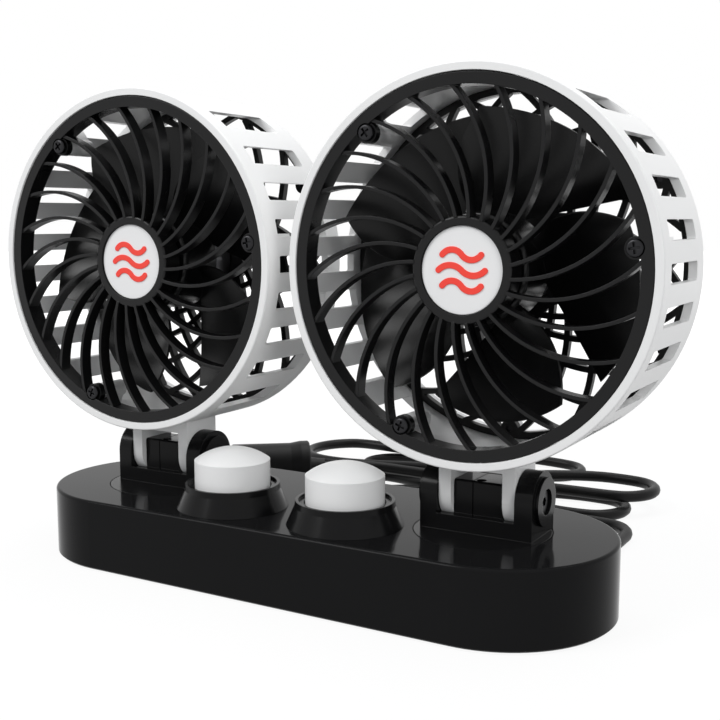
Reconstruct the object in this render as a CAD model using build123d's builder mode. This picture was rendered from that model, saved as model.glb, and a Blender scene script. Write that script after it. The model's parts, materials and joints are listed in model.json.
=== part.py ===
from build123d import *
import math
import os

os.makedirs("parts", exist_ok=True)

# A car fan: two round heads swivel and tilt on one long base, each with its push button.
# Millimetres. X runs along the base, the heads face -Y, Z is up and the feet stand on Z = 0.

# Fits and cuts
press_gap = 0.02
running_gap = 0.05
loose_gap = 0.2
cut_overrun = 1.0
full_turn = 360

# Layout of the whole fan
head_diameter = 120.0
head_depth = 46.2
head_gap = 8.0
base_end_margin = 43.3
base_width = 74.8
base_height = 25.3
foot_proud = 0.6
hinge_rise = 10.9
hinge_set_back = 3.0
drum_lift = 12.2
swivel_spacing = head_diameter + head_gap
swivel_x = swivel_spacing / 2
base_length = swivel_spacing + 2 * base_end_margin
drum_radius = head_diameter / 2
hinge_z = base_height + hinge_rise
head_axis_height = hinge_z + drum_lift + drum_radius
head_front = hinge_set_back - head_depth / 2
head_rear = hinge_set_back + head_depth / 2

# Drum of a head
drum_wall = 2.6
lip_depth = 2.6
lip_width = 2.4
drum_rear_round = 1.6
drum_front_round = 0.5
window_rows = 9
plain_band = 8.9
window_strip = 6.3
window_front_band = 6.9
window_rear_band = 9.4
window_corner = 0.7
drum_bore_radius = drum_radius - drum_wall
lip_bore_radius = drum_bore_radius - lip_width
lip_front = head_rear - lip_depth
window_height = (head_diameter - 2 * plain_band - (window_rows - 1) * window_strip) / window_rows
window_length = head_depth - window_front_band - window_rear_band
window_middle = head_front + window_front_band + window_length / 2

# Front guard
guard_recess = 0.4
guard_depth = 6.4
guard_ring_width = 3.7
guard_front_round = 0.3
rib_count = 24
rib_width = 1.1
rib_recess = 0.5
rib_depth = 4.4
rib_bury = 0.5
rib_start = 51.7
rib_turn = 27.5
rib_middle_radius_share = 0.553
rib_middle_turn_share = 0.49
guard_hub_radius = 16.1
guard_hub_recess = 0.7
guard_hub_depth = 7.6
guard_hub_wall = 1.8
guard_hub_plate = 1.6
guard_hub_round = 0.8
guard_radius = drum_bore_radius - loose_gap
guard_ring_bore = guard_radius - guard_ring_width
guard_front = head_front + guard_recess
guard_back = guard_front + guard_depth
rib_front = guard_front + rib_recess
guard_hub_front = guard_front + guard_hub_recess
guard_hub_back = guard_hub_front + guard_hub_depth

# Badge in the middle of the guard
badge_radius = 13.2
badge_gap = 0.1
badge_thickness = 1.0
badge_recess = 0.7
badge_edge = 0.3
wave_count = 3
wave_width = 1.9
wave_spacing = 4.6
wave_length = 15.0
wave_step = 2.5
wave_swing = 1.5
wave_proud = 0.25
badge_front = guard_hub_front + badge_recess
badge_back = badge_front + badge_thickness
hub_plate_back = badge_back + guard_hub_plate

# Screws of the front guard and the posts that take them
guard_screw_count = 3
guard_screw_start = 8
guard_screw_inset = 5.4
guard_boss_radius = 3.2
guard_boss_recess = 1.3
guard_boss_depth = 2.6
guard_screw_head_radius = 2.6
guard_screw_head_height = 1.6
guard_screw_head_round = 0.9
guard_screw_shank_radius = 1.1
guard_screw_length = 13.0
guard_head_gap = 0.2
guard_slot_length = 3.2
guard_slot_depth = 1.0
slot_width = 0.7
slot_depth = 0.7
post_radius = 3.0
post_length = 11.5
post_gap = 0.2
post_web_width = 4.0
guard_screw_ring = drum_bore_radius - guard_screw_inset
guard_boss_front = guard_front + guard_boss_recess
guard_boss_back = guard_boss_front + guard_boss_depth

# Rear grille and its screws
grille_thickness = 2.6
grille_ring_width = 2.2
motor_plate_radius = 18.5
bar_count = 18
bar_width = 1.9
bar_bury = 0.5
bar_start = 0
bar_turn = 67.6
bar_middle_radius_share = 0.388
bar_middle_turn_share = 0.519
grille_eye_radius = 3.5
rear_screw_count = 3
rear_screw_start = 30
rear_screw_inset = 3.4
rear_tab_radius = 3.0
rear_screw_head_radius = 1.7
rear_screw_head_height = 1.0
rear_screw_shank_radius = 1.0
rear_head_sink = 0.1
rear_head_gap = 0.1
rear_screw_grip = 2.0
grille_radius = drum_bore_radius - loose_gap
grille_back = lip_front
grille_front = grille_back - grille_thickness
grille_ring_bore = grille_radius - grille_ring_width
rear_screw_ring = drum_bore_radius - rear_screw_inset
rear_head_pocket = rear_screw_head_height + rear_head_sink

# Motor and impeller
motor_radius = 14.4
motor_setback = 10.5
motor_edge = 1.0
motor_nose_radius = 4.0
motor_nose_length = 1.2
motor_bore_floor = 5.2
motor_screw_count = 3
motor_screw_start = 90
motor_screw_ring = 9.0
motor_screw_shank_radius = 1.0
motor_screw_head_radius = 1.9
motor_screw_head_height = 1.2
motor_screw_bite = 3.0
shaft_radius = 1.0
shaft_end_gap = 1.7
impeller_hub_radius = 17.5
impeller_hub_gap = 1.8
impeller_hub_length = 17.6
impeller_hub_wall = 1.6
impeller_hub_plate = 2.0
impeller_hub_round = 1.5
impeller_boss_radius = 3.2
impeller_boss_length = 7.0
shaft_cover = 0.6
blade_count = 5
blade_tip_gap = 0.5
blade_thickness = 1.6
blade_edge_thickness = 0.8
blade_camber = 2.0
blade_setback = 11.1
blade_bury_share = 0.1
blade_overreach = 1.0
blade_root_chord = 17.4
blade_middle_chord = 41.6
blade_tip_chord = 56.8
blade_root_pitch = 38
blade_middle_pitch = 24
blade_tip_pitch = 18
blade_root_sweep = 8.5
blade_middle_sweep = -4.4
blade_tip_sweep = -19
blade_middle_radius_share = 0.36
left_impeller_turn = 37
impeller_front = guard_hub_back + impeller_hub_gap
impeller_back = impeller_front + impeller_hub_length
impeller_plate_back = impeller_front + impeller_hub_plate
impeller_boss_back = impeller_plate_back + impeller_boss_length
shaft_front = impeller_front + shaft_cover
motor_back = grille_front
motor_front = impeller_plate_back + motor_setback
motor_length = motor_back - motor_front
motor_nose_front = motor_front - motor_nose_length
motor_bore_end = motor_back - motor_bore_floor
shaft_length = motor_bore_end - shaft_end_gap - shaft_front
blade_middle = impeller_front + blade_setback
blade_tip_radius = guard_screw_ring - guard_boss_radius - blade_tip_gap

# Fork under the drum
fork_inner = 8.7
fork_plate = 4.3
fork_radius = 8.4
fork_bridge_rise = 9.2
lead_hole_radius = 2.4
fork_outer = fork_inner + fork_plate

# Swivel bracket
disc_radius = 22.0
disc_thickness = 2.6
disc_edge_gap = 0.35
pivot_radius = 9.0
pivot_bore_radius = 4.5
pivot_end_play = 0.2
ear_thickness = 5.8
ear_radius = 9.6
ear_gap = 0.2
ear_edge = 0.5
block_height = 5.2
knuckle_gap = 0.2
knuckle_reach = 6.3
knuckle_rise = 5.3
knuckle_round = 0.9
slot_gap = 0.5
ear_boss_radius = 7.8
ear_boss_proud = 1.3
hinge_screw_radius = 2.0
hinge_head_radius = 4.0
hinge_head_height = 2.6
hinge_head_gap = 0.15
hinge_head_pocket = 3.5
hex_socket_width = 2.6
hex_socket_depth = 1.4
nut_width = 6.8
nut_height = 3.0
nut_gap = 0.1
nut_pocket = 3.2
screw_end_inset = 0.4
lead_way_radius = 1.6
lead_way_front = 4.2
lead_bore_top_cover = 2.5
seam_x = 2.2
seam_width = 0.35
seam_depth = 0.4
disc_underside = base_height - disc_thickness
ear_inner = fork_outer + ear_gap
ear_outer = ear_inner + ear_thickness
ear_boss_face = ear_outer + ear_boss_proud
knuckle_half = fork_inner - knuckle_gap
slot_radius = fork_radius + slot_gap
hinge_bore_radius = hinge_screw_radius + running_gap
block_top = base_height + block_height
lead_way_y = hinge_set_back - lead_way_front

# Retainer under each swivel bracket
swivel_floor = 2.4
retainer_radius = 12.0
retainer_thickness = 1.6
retainer_screw_count = 3
retainer_screw_start = 90
retainer_screw_shank_radius = 1.0
retainer_screw_head_radius = 1.9
retainer_screw_head_height = 1.4
retainer_screw_bite = 5.0
swivel_floor_underside = disc_underside - swivel_floor
pivot_bottom = swivel_floor_underside - pivot_end_play
retainer_screw_ring = (pivot_radius + pivot_bore_radius) / 2
retainer_bottom = pivot_bottom - retainer_thickness

# Base
base_wall = 2.6
base_top = 2.8
base_top_round = 1.0
base_foot_chamfer = 0.6
swivel_boss_radius = 27.0
plate_thickness = 2.0
plate_gap = 0.2
base_screw_end_inset = 19.3
base_screw_side_inset = 15.4
base_middle_screw_inset = 9.4
base_boss_radius = 3.6
base_screw_shank_radius = 1.2
base_screw_head_radius = 2.4
base_screw_head_height = 1.0
base_screw_length = 8.4
base_head_sink = 0.1
base_head_gap = 0.2
foot_end_inset = 41.3
foot_side_inset = 13.4
foot_radius = 6.0
foot_sink = 0.8
foot_gap = 0.1
foot_edge = 0.3
base_underside = foot_proud
base_inner_top = base_height - base_top
plate_top = base_underside + plate_thickness
base_back = base_width / 2
foot_spacing_x = base_length - 2 * foot_end_inset
foot_spacing_y = base_width - 2 * foot_side_inset
base_screw_x = base_length / 2 - base_screw_end_inset
base_screw_y = base_back - base_screw_side_inset
middle_screw_y = base_back - base_middle_screw_inset
base_screw_places = (
    (-base_screw_x, -base_screw_y),
    (-base_screw_x, base_screw_y),
    (0, -middle_screw_y),
    (0, middle_screw_y),
    (base_screw_x, -base_screw_y),
    (base_screw_x, base_screw_y),
)

# Push buttons
knob_x = 22.6
knob_front_inset = 21.3
bezel_foot_radius = 19.25
bezel_shoulder_radius = 16.5
bezel_top_radius = 16.2
bezel_ledge_radius = 15.2
bezel_shoulder_rise = 6.2
bezel_rise = 8.1
bezel_ledge_drop = 0.9
cap_radius = 12.95
cap_gap = 0.4
cap_foot_rise = 3.5
cap_crease_rise = 16.2
cap_top_rise = 20.5
cap_wall = 1.75
cap_hollow_top_rise = 14.7
cap_foot_edge = 0.3
cap_travel = 3.0
stem_radius = 3.0
stem_bottom = 14.0
stem_floor_gap = 1.0
switch_flange = 18.0
switch_flange_thickness = 1.2
switch_body = 15.0
switch_bottom = 8.5
switch_neck_hole = 6.0
switch_corner = 0.8
knob_y = knob_front_inset - base_width / 2
bezel_bore_radius = cap_radius + cap_gap
switch_flange_bottom = base_inner_top - switch_flange_thickness
switch_bore_floor = stem_bottom - cap_travel - stem_floor_gap

# Cord grip in the back wall
cord_diameter = 4.8
grip_x = 66.0
grip_z = 8.6
grip_hole_radius = 4.2
grip_neck_radius = 4.0
grip_neck_reach = 3.0
grip_flange_radius = 6.2
grip_flange_thickness = 2.0
boot_root_radius = 4.6
boot_end_radius = 3.6
boot_length = 7.0
boot_grooves = 3
boot_groove_depth = 0.5
grip_inner_end = base_back - base_wall - grip_neck_reach
boot_start = base_back + grip_flange_thickness
boot_end = boot_start + boot_length
cord_radius = cord_diameter / 2

# Leads inside the base, from the cord grip to each switch
inner_lead_radius = 1.1
inner_lead_offset = 1.4
inner_lead_end_z = 11.0
right_lead_start = 13.8
left_lead_start = 7.8
right_lead_end = 16.6
left_lead_end = 22.6
switch_back = knob_y + switch_body / 2

# Cord: a free stretch from the grip, then the tied hank on the floor
run_share = 0.45
lead_points = (
    (grip_x, boot_end, grip_z),
    (66.0, 55.6, 8.6),
    (70.6, 63.6, 7.2),
    (79.2, 68.2, 4.4),
    (84.0, 76.2, cord_radius),
    (84.0, 85.9, cord_radius),
)
layer_rise = 6.1
waist_lift = 0.8
waist_x = -6.0
first_turn_radius = 13.4
hank_end_place = (-52.5, 100.5)
plug_heading = 218
layer_one = cord_radius
layer_two = cord_radius + layer_rise
# Each bend of the hank: side, middle x, middle y, radius, height, turn, and the waist before it
hank_bends = (
    (-1, -46.0, 115.7, 14.6, layer_one, -1, 114.2),
    (1, 58.0, 126.8, 15.0, layer_one, 1, 122.2),
    (-1, -50.0, 154.7, 14.6, layer_one, -1, 128.6),
    (1, 20.0, 182.2, 15.0, layer_one, 1, 135.0),
    (-1, -68.0, 143.6, 22.0, layer_two, 1, None),
    (1, 66.0, 140.2, 15.5, layer_two, -1, 131.2),
)
last_waist_y = 119.2
tie_thickness = 0.6
tie_width = 4.0
tie_slack = 0.4
tie_corner = 2.0
tie_shoulder_share = 0.42

# Plug for the car's socket
plug_collar_radius = 12.0
plug_collar_length = 4.0
plug_grip_radius = 11.2
plug_grip_length = 30.0
plug_barrel_radius = 10.0
plug_barrel_length = 24.0
plug_shoulder = 2.0
plug_nose_radius = 8.5
plug_nose_taper = 4.0
plug_edge = 0.6
plug_flare_length = 4.5
plug_boot_length = 7.0
plug_boot_root_radius = 4.6
plug_boot_end_radius = 3.6
nose_ring_radius = 7.5
nose_ring_length = 6.0
nose_ring_edge = 0.8
tip_radius = 3.2
tip_reach = 3.0
tip_round = 1.2
tip_flange_radius = 4.4
tip_flange_thickness = 1.5
tip_tail_radius = 2.6
tip_tail_length = 4.5
tip_bore_length = 12.0
tip_bore_gap = 0.1
contact_width = 5.0
contact_gap = 0.2
contact_length = 17.0
contact_thickness = 0.8
contact_seat = 7.4
contact_bulge = 3.0
contact_start = 4.5

head_axis = Axis((0, 0, head_axis_height), (0, 1, 0))
along = Plane(origin=(0, 0, head_axis_height), x_dir=(0, 1, 0), z_dir=(1, 0, 0))


def across(depth):
    """Plane square to the head's axis, seen from the front."""
    return Plane(origin=(0, depth, head_axis_height), x_dir=(1, 0, 0), z_dir=(0, -1, 0))


def behind(depth):
    """Plane square to the head's axis, seen from the rear."""
    return Plane(origin=(0, depth, head_axis_height), x_dir=(-1, 0, 0), z_dir=(0, 1, 0))


def side_on(reach):
    """Plane square to the hinge, with the hinge at its origin."""
    return Plane(origin=(reach, hinge_set_back, hinge_z), x_dir=(0, 1, 0), z_dir=(1, 0, 0))


def level(height):
    return Plane.XY.offset(height)


def polar(radius, degrees):
    angle = math.radians(degrees)
    return (radius * math.cos(angle), radius * math.sin(angle))


def curved_bar(inner, outer, start, turn, radius_share, turn_share):
    """One bar that curves outward from the inner radius to the outer one."""
    ThreePointArc(
        polar(inner, start),
        polar(inner + radius_share * (outer - inner), start + turn_share * turn),
        polar(outer, start + turn),
    )


def write(name, piece):
    piece.label = name
    export_step(piece, f"parts/{name}.step")


def write_pair(name, piece, reach):
    """One copy of the piece at each end of the base."""
    for side, place in (("left", -reach), ("right", reach)):
        with BuildPart() as placed:
            with Locations((place, 0, 0)):
                add(piece)
        write(f"{name}_{side}", placed.part)


# Fork: two plates and a bridge that carry the drum on the hinge
fork_top = head_axis_height - math.sqrt((drum_radius - drum_wall / 2) ** 2 - fork_outer**2)
bridge_bottom = hinge_z + fork_bridge_rise
bridge_top = head_axis_height - math.sqrt((drum_radius - drum_wall / 2) ** 2 - fork_inner**2)
with BuildPart() as fork:
    with BuildSketch(side_on(fork_inner)):
        Circle(fork_radius)
        Rectangle(2 * fork_radius, fork_top - hinge_z, align=(Align.CENTER, Align.MIN))
    extrude(amount=fork_plate)
    mirror(about=Plane.YZ)
    with BuildSketch(level(bridge_bottom)):
        with Locations((0, hinge_set_back)):
            Rectangle(2 * fork_inner, 2 * fork_radius)
    extrude(amount=bridge_top - bridge_bottom)
    with BuildSketch(side_on(0)):
        Circle(hinge_bore_radius)
    extrude(amount=fork_outer + cut_overrun, both=True, mode=Mode.SUBTRACT)

# Drum housing: open tube with a rear lip, side windows, screw posts and the fork
with BuildPart() as drum_housing:
    with BuildSketch(along):
        with BuildLine():
            Polyline(
                (head_front, drum_bore_radius),
                (head_front, drum_radius),
                (head_rear, drum_radius),
                (head_rear, lip_bore_radius),
                (lip_front, lip_bore_radius),
                (lip_front, drum_bore_radius),
                close=True,
            )
        make_face()
    revolve(axis=head_axis)
    outer_edges = drum_housing.edges().filter_by(GeomType.CIRCLE).group_by(SortBy.RADIUS)[-1]
    fillet(outer_edges.sort_by(Axis.Y)[-1], drum_rear_round)
    outer_edges = drum_housing.edges().filter_by(GeomType.CIRCLE).group_by(SortBy.RADIUS)[-1]
    fillet(outer_edges.sort_by(Axis.Y)[0], drum_front_round)
    with BuildSketch(along):
        with Locations((window_middle, 0)):
            with GridLocations(window_length, window_height + window_strip, 1, window_rows):
                RectangleRounded(window_length, window_height, window_corner)
    extrude(amount=drum_radius + cut_overrun, both=True, mode=Mode.SUBTRACT)
    with BuildSketch(across(guard_boss_back)):
        with PolarLocations(guard_screw_ring, guard_screw_count, guard_screw_start):
            Circle(post_radius)
            Rectangle(
                guard_screw_inset + drum_wall / 2,
                post_web_width,
                align=(Align.MIN, Align.CENTER),
            )
    extrude(amount=-post_length)
    with Locations(across(guard_boss_back)):
        with PolarLocations(guard_screw_ring, guard_screw_count, guard_screw_start):
            Hole(guard_screw_shank_radius + running_gap, post_length)
    with BuildSketch(behind(lip_front)):
        with PolarLocations(rear_screw_ring, rear_screw_count, rear_screw_start):
            Circle(rear_tab_radius)
    extrude(amount=lip_depth)
    with Locations(behind(head_rear)):
        with PolarLocations(rear_screw_ring, rear_screw_count, rear_screw_start):
            CounterBoreHole(
                rear_screw_shank_radius + running_gap,
                rear_screw_head_radius + rear_head_gap,
                rear_head_pocket,
                lip_depth,
            )
    add(fork.part)
    with BuildSketch(level(bridge_bottom)):
        with Locations((0, lead_way_y)):
            Circle(lead_hole_radius)
    extrude(amount=drum_lift + drum_wall, mode=Mode.SUBTRACT)
write_pair("drum_housing", drum_housing.part, swivel_x)

# Front guard: ring, curved ribs, hub cup for the badge and three screw bosses
with BuildPart() as front_guard:
    with BuildSketch(across(guard_front)):
        Circle(guard_radius)
        Circle(guard_ring_bore, mode=Mode.SUBTRACT)
    extrude(amount=-guard_depth)
    ring_edges = front_guard.edges().filter_by(GeomType.CIRCLE).group_by(SortBy.RADIUS)[-1]
    fillet(ring_edges.sort_by(Axis.Y)[0], guard_front_round)
    with BuildSketch(across(rib_front)):
        with BuildLine():
            for k in range(rib_count):
                curved_bar(
                    guard_hub_radius - rib_bury,
                    guard_ring_bore + rib_bury,
                    rib_start + k * full_turn / rib_count,
                    rib_turn,
                    rib_middle_radius_share,
                    rib_middle_turn_share,
                )
        trace(line_width=rib_width)
    extrude(amount=-rib_depth)
    with BuildSketch(along) as hub_section:
        with BuildLine():
            Polyline(
                (guard_hub_front, badge_radius + badge_gap),
                (guard_hub_front, guard_hub_radius),
                (guard_hub_back, guard_hub_radius),
                (guard_hub_back, guard_hub_radius - guard_hub_wall),
                (hub_plate_back, guard_hub_radius - guard_hub_wall),
                (hub_plate_back, 0),
                (badge_back, 0),
                (badge_back, badge_radius + badge_gap),
                close=True,
            )
        make_face()
        front_corners = hub_section.vertices().group_by(Axis.X)[0]
        fillet(front_corners.sort_by(Axis.Y)[-1], guard_hub_round)
    revolve(axis=head_axis)
    with BuildSketch(across(guard_boss_front)):
        with PolarLocations(guard_screw_ring, guard_screw_count, guard_screw_start):
            Circle(guard_boss_radius)
    extrude(amount=-guard_boss_depth)
    with BuildSketch(across(guard_boss_back)):
        with PolarLocations(guard_screw_ring, guard_screw_count, guard_screw_start):
            Circle(post_radius + post_gap)
            Rectangle(
                guard_screw_inset,
                post_web_width + 2 * post_gap,
                align=(Align.MIN, Align.CENTER),
            )
    extrude(amount=-guard_depth, mode=Mode.SUBTRACT)
    with BuildSketch(across(guard_boss_front)):
        with PolarLocations(guard_screw_ring, guard_screw_count, guard_screw_start):
            Circle(guard_screw_head_radius + guard_head_gap)
    extrude(amount=guard_boss_recess + cut_overrun, mode=Mode.SUBTRACT)
    with Locations(across(guard_boss_front)):
        with PolarLocations(guard_screw_ring, guard_screw_count, guard_screw_start):
            Hole(guard_screw_shank_radius + running_gap, guard_boss_depth)
write_pair("front_guard", front_guard.part, swivel_x)

# Screws of the front guard, with a domed head and a cross slot
guard_head_front = guard_boss_front - guard_screw_head_height
with BuildPart() as guard_screws:
    with BuildSketch(across(guard_boss_front)):
        with PolarLocations(guard_screw_ring, guard_screw_count, guard_screw_start):
            Circle(guard_screw_head_radius)
    extrude(amount=guard_screw_head_height)
    fillet(guard_screws.edges().group_by(Axis.Y)[0], guard_screw_head_round)
    with BuildSketch(across(guard_boss_front)):
        with PolarLocations(guard_screw_ring, guard_screw_count, guard_screw_start):
            Circle(guard_screw_shank_radius)
    extrude(amount=-(guard_screw_length - guard_screw_head_height))
    with BuildSketch(across(guard_head_front)):
        with PolarLocations(guard_screw_ring, guard_screw_count, guard_screw_start):
            Rectangle(guard_slot_length, slot_width)
            Rectangle(slot_width, guard_slot_length)
    extrude(amount=-guard_slot_depth, mode=Mode.SUBTRACT)
write_pair("guard_screws", guard_screws.part, swivel_x)

# Round badge in the guard's hub, and the three waves on it
with BuildPart() as guard_badge:
    with BuildSketch(across(badge_back)):
        Circle(badge_radius)
    extrude(amount=badge_thickness)
    fillet(guard_badge.faces().sort_by(Axis.Y)[0].edges(), badge_edge)
write_pair("guard_badge", guard_badge.part, swivel_x)

with BuildPart() as badge_mark:
    with BuildSketch(across(badge_front)):
        for k in range(wave_count):
            offset_lines = k - (wave_count - 1) / 2
            half = wave_length / 2 - wave_step / 2 * abs(offset_lines)
            middle_z = offset_lines * wave_spacing
            with BuildLine() as wave:
                ThreePointArc((-half, middle_z), (-half / 2, middle_z + wave_swing), (0, middle_z))
                ThreePointArc((0, middle_z), (half / 2, middle_z - wave_swing), (half, middle_z))
            trace(line_width=wave_width)
            with Locations((-half, middle_z), (half, middle_z)):
                Circle(wave_width / 2)
    extrude(amount=wave_proud)
write_pair("badge_mark", badge_mark.part, swivel_x)

# Rear grille: ring with tabs for its screws, motor plate and two crossing families of curved bars
with BuildPart() as rear_grille:
    with BuildSketch(across(grille_back)):
        Circle(grille_radius)
        Circle(grille_ring_bore, mode=Mode.SUBTRACT)
        Circle(motor_plate_radius)
        for turn in (bar_turn, -bar_turn):
            with BuildLine():
                for k in range(bar_count):
                    curved_bar(
                        motor_plate_radius - bar_bury,
                        grille_ring_bore + bar_bury,
                        bar_start + k * full_turn / bar_count,
                        turn,
                        bar_middle_radius_share,
                        bar_middle_turn_share,
                    )
            trace(line_width=bar_width)
    extrude(amount=grille_thickness)
    with BuildSketch(behind(grille_front)):
        with PolarLocations(rear_screw_ring, rear_screw_count, rear_screw_start):
            Circle(rear_tab_radius)
    extrude(amount=grille_thickness)
    with Locations(across(grille_front)):
        Hole(grille_eye_radius, grille_thickness)
        with PolarLocations(motor_screw_ring, motor_screw_count, motor_screw_start):
            Hole(motor_screw_shank_radius + running_gap, grille_thickness)
    with Locations(behind(grille_back)):
        with PolarLocations(rear_screw_ring, rear_screw_count, rear_screw_start):
            Hole(rear_screw_shank_radius + running_gap, grille_thickness)
write_pair("rear_grille", rear_grille.part, swivel_x)

# Rear screws: from behind, through the lip's tabs into the grille's tabs
with BuildPart() as rear_screws:
    rear_seat = head_rear - rear_head_pocket
    with BuildSketch(behind(rear_seat)):
        with PolarLocations(rear_screw_ring, rear_screw_count, rear_screw_start):
            Circle(rear_screw_head_radius)
    extrude(amount=rear_screw_head_height)
    with BuildSketch(behind(rear_seat)):
        with PolarLocations(rear_screw_ring, rear_screw_count, rear_screw_start):
            Circle(rear_screw_shank_radius)
    extrude(amount=-(rear_seat - lip_front + rear_screw_grip))
    with BuildSketch(behind(rear_seat + rear_screw_head_height)):
        with PolarLocations(rear_screw_ring, rear_screw_count, rear_screw_start):
            Rectangle(2 * rear_screw_shank_radius, slot_width)
            Rectangle(slot_width, 2 * rear_screw_shank_radius)
    extrude(amount=-slot_depth, mode=Mode.SUBTRACT)
write_pair("rear_screws", rear_screws.part, swivel_x)

# Motor on the grille's plate
with BuildPart() as motor:
    with BuildSketch(across(motor_back)):
        Circle(motor_radius)
    extrude(amount=motor_length)
    fillet(motor.edges().filter_by(GeomType.CIRCLE), motor_edge)
    with BuildSketch(across(motor_front)):
        Circle(motor_nose_radius)
    extrude(amount=motor_nose_length)
    with Locations(across(motor_nose_front)):
        Hole(shaft_radius + running_gap, motor_bore_end - motor_nose_front)
    with Locations(behind(motor_back)):
        with PolarLocations(motor_screw_ring, motor_screw_count, full_turn / 2 - motor_screw_start):
            Hole(motor_screw_shank_radius + running_gap, motor_screw_bite + running_gap)
write_pair("motor", motor.part, swivel_x)

with BuildPart() as motor_screws:
    with BuildSketch(across(grille_back)):
        with PolarLocations(motor_screw_ring, motor_screw_count, motor_screw_start):
            Circle(motor_screw_head_radius)
    extrude(amount=-motor_screw_head_height)
    with BuildSketch(across(grille_back)):
        with PolarLocations(motor_screw_ring, motor_screw_count, motor_screw_start):
            Circle(motor_screw_shank_radius)
    extrude(amount=grille_thickness + motor_screw_bite)
    with BuildSketch(across(grille_back + motor_screw_head_height)):
        with PolarLocations(motor_screw_ring, motor_screw_count, motor_screw_start):
            Rectangle(2 * motor_screw_shank_radius, slot_width)
            Rectangle(slot_width, 2 * motor_screw_shank_radius)
    extrude(amount=slot_depth, mode=Mode.SUBTRACT)
write_pair("motor_screws", motor_screws.part, swivel_x)

# Motor shaft, which turns with the impeller
with BuildPart() as motor_shaft:
    with BuildSketch(across(shaft_front)):
        Circle(shaft_radius)
    extrude(amount=-shaft_length)
write_pair("motor_shaft", motor_shaft.part, swivel_x)

# One blade, lofted outward through three cambered sections
blade_root_radius = impeller_hub_radius - (1 - blade_bury_share) * impeller_hub_wall
blade_end_radius = blade_tip_radius + blade_overreach
blade_middle_radius = blade_root_radius + blade_middle_radius_share * (blade_end_radius - blade_root_radius)
with BuildPart() as blade:
    for radius, chord, pitch, sweep_angle in (
        (blade_root_radius, blade_root_chord, blade_root_pitch, blade_root_sweep),
        (blade_middle_radius, blade_middle_chord, blade_middle_pitch, blade_middle_sweep),
        (blade_end_radius, blade_tip_chord, blade_tip_pitch, blade_tip_sweep),
    ):
        out_x, out_z = polar(1, sweep_angle)
        lean, rise = polar(1, pitch)
        section = Plane(
            origin=(radius * out_x, blade_middle, head_axis_height + radius * out_z),
            x_dir=(out_z * lean, rise, -out_x * lean),
            z_dir=(out_x, 0, out_z),
        )
        with BuildSketch(section):
            with BuildLine():
                half = chord / 2
                edge = blade_edge_thickness / 2
                belly = blade_thickness / 2
                upper = ThreePointArc((-half, edge), (0, blade_camber + belly), (half, edge))
                lower = ThreePointArc((-half, -edge), (0, blade_camber - belly), (half, -edge))
                Line(upper @ 0, lower @ 0)
                Line(upper @ 1, lower @ 1)
            make_face()
    loft()
    with Locations((0, blade_middle, head_axis_height)):
        Cylinder(blade_tip_radius, head_depth, rotation=(90, 0, 0), mode=Mode.INTERSECT)

# Impeller: hub cup over the motor, with its blades
with BuildPart() as impeller:
    with BuildSketch(along):
        with BuildLine():
            Polyline(
                (impeller_front, 0),
                (impeller_front, impeller_hub_radius),
                (impeller_back, impeller_hub_radius),
                (impeller_back, impeller_hub_radius - impeller_hub_wall),
                (impeller_plate_back, impeller_hub_radius - impeller_hub_wall),
                (impeller_plate_back, impeller_boss_radius),
                (impeller_boss_back, impeller_boss_radius),
                (impeller_boss_back, 0),
                close=True,
            )
        make_face()
    revolve(axis=head_axis)
    fillet(impeller.faces().sort_by(Axis.Y)[0].edges(), impeller_hub_round)
    for k in range(blade_count):
        add(blade.part.rotate(head_axis, k * full_turn / blade_count))
    with Locations(behind(impeller_boss_back)):
        Hole(shaft_radius + press_gap, impeller_boss_back - shaft_front)
for impeller_side, place, turn in (("left", -swivel_x, left_impeller_turn), ("right", swivel_x, 0)):
    with BuildPart() as placed_impeller:
        with Locations((place, 0, 0)):
            add(impeller.part.rotate(head_axis, turn))
    write(f"impeller_{impeller_side}", placed_impeller.part)

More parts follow.
